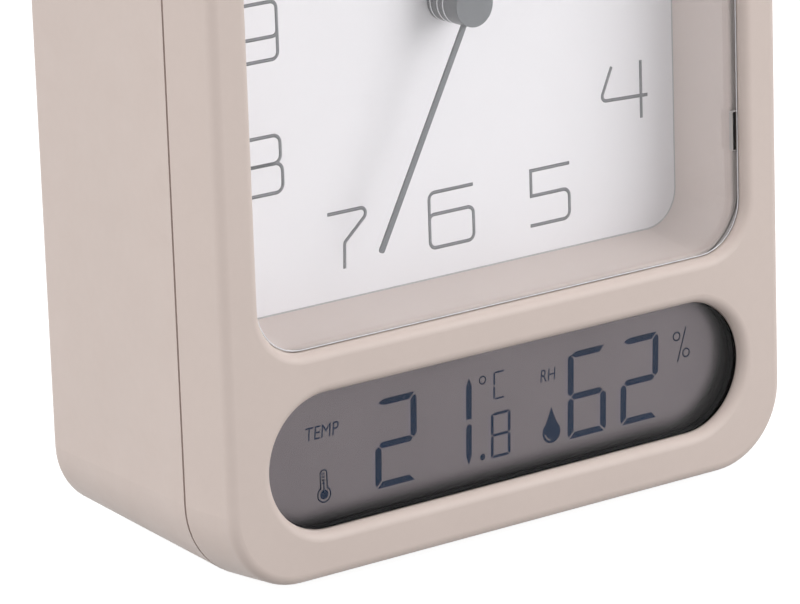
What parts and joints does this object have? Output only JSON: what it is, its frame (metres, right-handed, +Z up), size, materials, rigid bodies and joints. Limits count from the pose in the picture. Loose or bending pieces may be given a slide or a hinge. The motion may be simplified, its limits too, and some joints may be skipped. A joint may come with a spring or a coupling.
{
  "type": "thermometer hygrometer clock",
  "caption": "Free-standing table clock: rounded upright case, deep dial window with hands and alarm hand, pill-shaped temperature and humidity display below, ribbed setting knobs behind.",
  "frame": {"origin": "middle of the case's footprint, on the surface that the clock stands on", "axes": "+X to the dial's three, +Y from the dial towards the back, +Z up to the dial's twelve"},
  "size_m": [0.11, 0.0516, 0.1366],
  "materials": {
    "case_plastic": "matte warm grey-beige",
    "clear_lens": "clear, polished",
    "display_window": "clear, lightly tinted",
    "dial_white": "matte white, numerals printed grey",
    "hand_grey": "matt grey paint",
    "inner_plastic": "moulded, unpainted",
    "movement_plastic": "black moulding",
    "gear_plastic": "natural acetal",
    "steel": "plain",
    "plated_spring": "nickel plated",
    "copper_wire": "enamelled copper",
    "rubber_grey": "matte",
    "rubber_black": "matte",
    "board_green": "solder mask",
    "chip_black": "resin",
    "knob_plastic": "matte, ribbed",
    "switch_black": "moulded",
    "cell_jacket": "plain printed sleeve",
    "lcd_glass": "grey film under glass",
    "reflector_foil": "brushed foil",
    "lead_red_black": "insulated wire"
  },
  "bodies": {
    "case": {"front_frame": "case_plastic", "rear_case": "case_plastic", "rubber_feet": "rubber_grey", "case_screws": "steel", "dial_lens": "clear_lens", "dial_shroud": "case_plastic", "dial_card": "dial_white", "dial_plate": "inner_plastic", "dial_screws": "steel", "movement_front_shell": "movement_plastic", "movement_mid_plate": "movement_plastic", "movement_back_shell": "movement_plastic", "movement_screws": "steel", "stator": "steel", "coil": "copper_wire", "movement_board": "board_green", "quartz_crystal": "plated_spring", "alarm_switch": "switch_black", "alarm_buzzer": "switch_black", "snooze_switch": "switch_black", "snooze_bracket": "inner_plastic", "battery_tray": "inner_plastic", "tray_screws": "steel", "clock_cell": "cell_jacket", "display_cell": "cell_jacket", "positive_contacts": "plated_spring", "negative_contacts": "plated_spring", "display_lens": "display_window", "display_holder": "switch_black", "lcd_panel": "lcd_glass", "lcd_reflector": "reflector_foil", "zebra_strips": "rubber_black", "display_board": "board_green", "display_screws": "steel", "display_chip": "chip_black", "climate_sensor": "inner_plastic", "unit_board": "board_green", "unit_switch": "switch_black", "battery_leads": "lead_red_black"},
    "second_train": {"second_hand": "hand_grey", "second_wheel": "gear_plastic"},
    "third_train": {"third_wheel": "gear_plastic"},
    "minute_train": {"minute_wheel": "gear_plastic"},
    "intermediate_train": {"intermediate_wheel": "gear_plastic"},
    "rotor_train": {"rotor": "gear_plastic"},
    "time_setting": {"time_stem": "gear_plastic", "time_knob": "knob_plastic"},
    "minute_display": {"minute_hand": "hand_grey", "cannon_pinion": "gear_plastic"},
    "hour_display": {"hour_hand": "hand_grey", "hour_wheel": "gear_plastic"},
    "motion_work": {"minute_work_wheel": "gear_plastic"},
    "alarm_setting": {"alarm_stem": "gear_plastic", "alarm_knob": "knob_plastic"},
    "alarm_display": {"alarm_hand": "hand_grey", "alarm_wheel": "gear_plastic"},
    "alarm_switch_slider": {"alarm_slider": "switch_black"},
    "snooze": {"snooze_button": "case_plastic"},
    "unit": {"unit_button": "rubber_grey"},
    "door": {"battery_door": "case_plastic"}
  },
  "joints": [
    {"name": "second_hand_turn", "type": "hinge", "parent": "case", "child": "second_train", "pos_m": [0, -0.0058, 0.0831], "axis": [0, 1, 0], "continuous": true},
    {"name": "third_wheel_turn", "type": "hinge", "parent": "case", "child": "third_train", "pos_m": [0, -0.0058, 0.0939], "axis": [0, 1, 0], "continuous": true},
    {"name": "minute_wheel_turn", "type": "hinge", "parent": "case", "child": "minute_train", "pos_m": [0, -0.0058, 0.0831], "axis": [0, 1, 0], "continuous": true},
    {"name": "intermediate_wheel_turn", "type": "hinge", "parent": "case", "child": "intermediate_train", "pos_m": [0, -0.0058, 0.0716], "axis": [0, 1, 0], "continuous": true},
    {"name": "rotor_turn", "type": "hinge", "parent": "case", "child": "rotor_train", "pos_m": [0.00779, -0.0058, 0.06845], "axis": [0, 1, 0], "continuous": true},
    {"name": "time_knob_turn", "type": "hinge", "parent": "case", "child": "time_setting", "pos_m": [-0.017, -0.0058, 0.0831], "axis": [0, 1, 0], "continuous": true},
    {"name": "motion_work_turn", "type": "hinge", "parent": "case", "child": "motion_work", "pos_m": [-0.008, -0.0058, 0.0831], "axis": [0, 1, 0], "continuous": true},
    {"name": "minute_hand_turn", "type": "hinge", "parent": "case", "child": "minute_display", "pos_m": [0, -0.0058, 0.0831], "axis": [0, 1, 0], "continuous": true},
    {"name": "hour_hand_turn", "type": "hinge", "parent": "case", "child": "hour_display", "pos_m": [0, -0.0058, 0.0831], "axis": [0, 1, 0], "continuous": true},
    {"name": "alarm_knob_turn", "type": "hinge", "parent": "case", "child": "alarm_setting", "pos_m": [0.017, -0.0058, 0.0831], "axis": [0, 1, 0], "continuous": true},
    {"name": "alarm_hand_turn", "type": "hinge", "parent": "case", "child": "alarm_display", "pos_m": [0, -0.0058, 0.0831], "axis": [0, 1, 0], "continuous": true},
    {"name": "alarm_switch_slide", "type": "slide", "parent": "case", "child": "alarm_switch_slider", "axis": [0, 0, 1], "range_m": [0, 0.004]},
    {"name": "snooze_press", "type": "slide", "parent": "case", "child": "snooze", "axis": [0, 0, -1], "range_m": [0, 0.0012], "stiffness_N_per_m": 900, "springref_m": -0.0002},
    {"name": "unit_press", "type": "slide", "parent": "case", "child": "unit", "axis": [0, -1, 0], "range_m": [0, 0.0008], "stiffness_N_per_m": 900, "springref_m": -0.0002},
    {"name": "battery_door_hinge", "type": "hinge", "parent": "case", "child": "door", "pos_m": [0, 0.0248, 0.0188], "axis": [-1, 0, 0], "range_deg": [0, 95]}
  ],
  "couplings": [
    {"joint": "third_wheel_turn", "follows": "second_hand_turn", "ratio": -0.13333},
    {"joint": "minute_wheel_turn", "follows": "second_hand_turn", "ratio": 0.016667},
    {"joint": "intermediate_wheel_turn", "follows": "second_hand_turn", "ratio": -5},
    {"joint": "rotor_turn", "follows": "second_hand_turn", "ratio": 30},
    {"joint": "motion_work_turn", "follows": "time_knob_turn", "ratio": -0.5},
    {"joint": "minute_hand_turn", "follows": "time_knob_turn", "ratio": 1.5},
    {"joint": "hour_hand_turn", "follows": "time_knob_turn", "ratio": 0.125},
    {"joint": "alarm_hand_turn", "follows": "alarm_knob_turn", "ratio": -0.5}
  ]
}
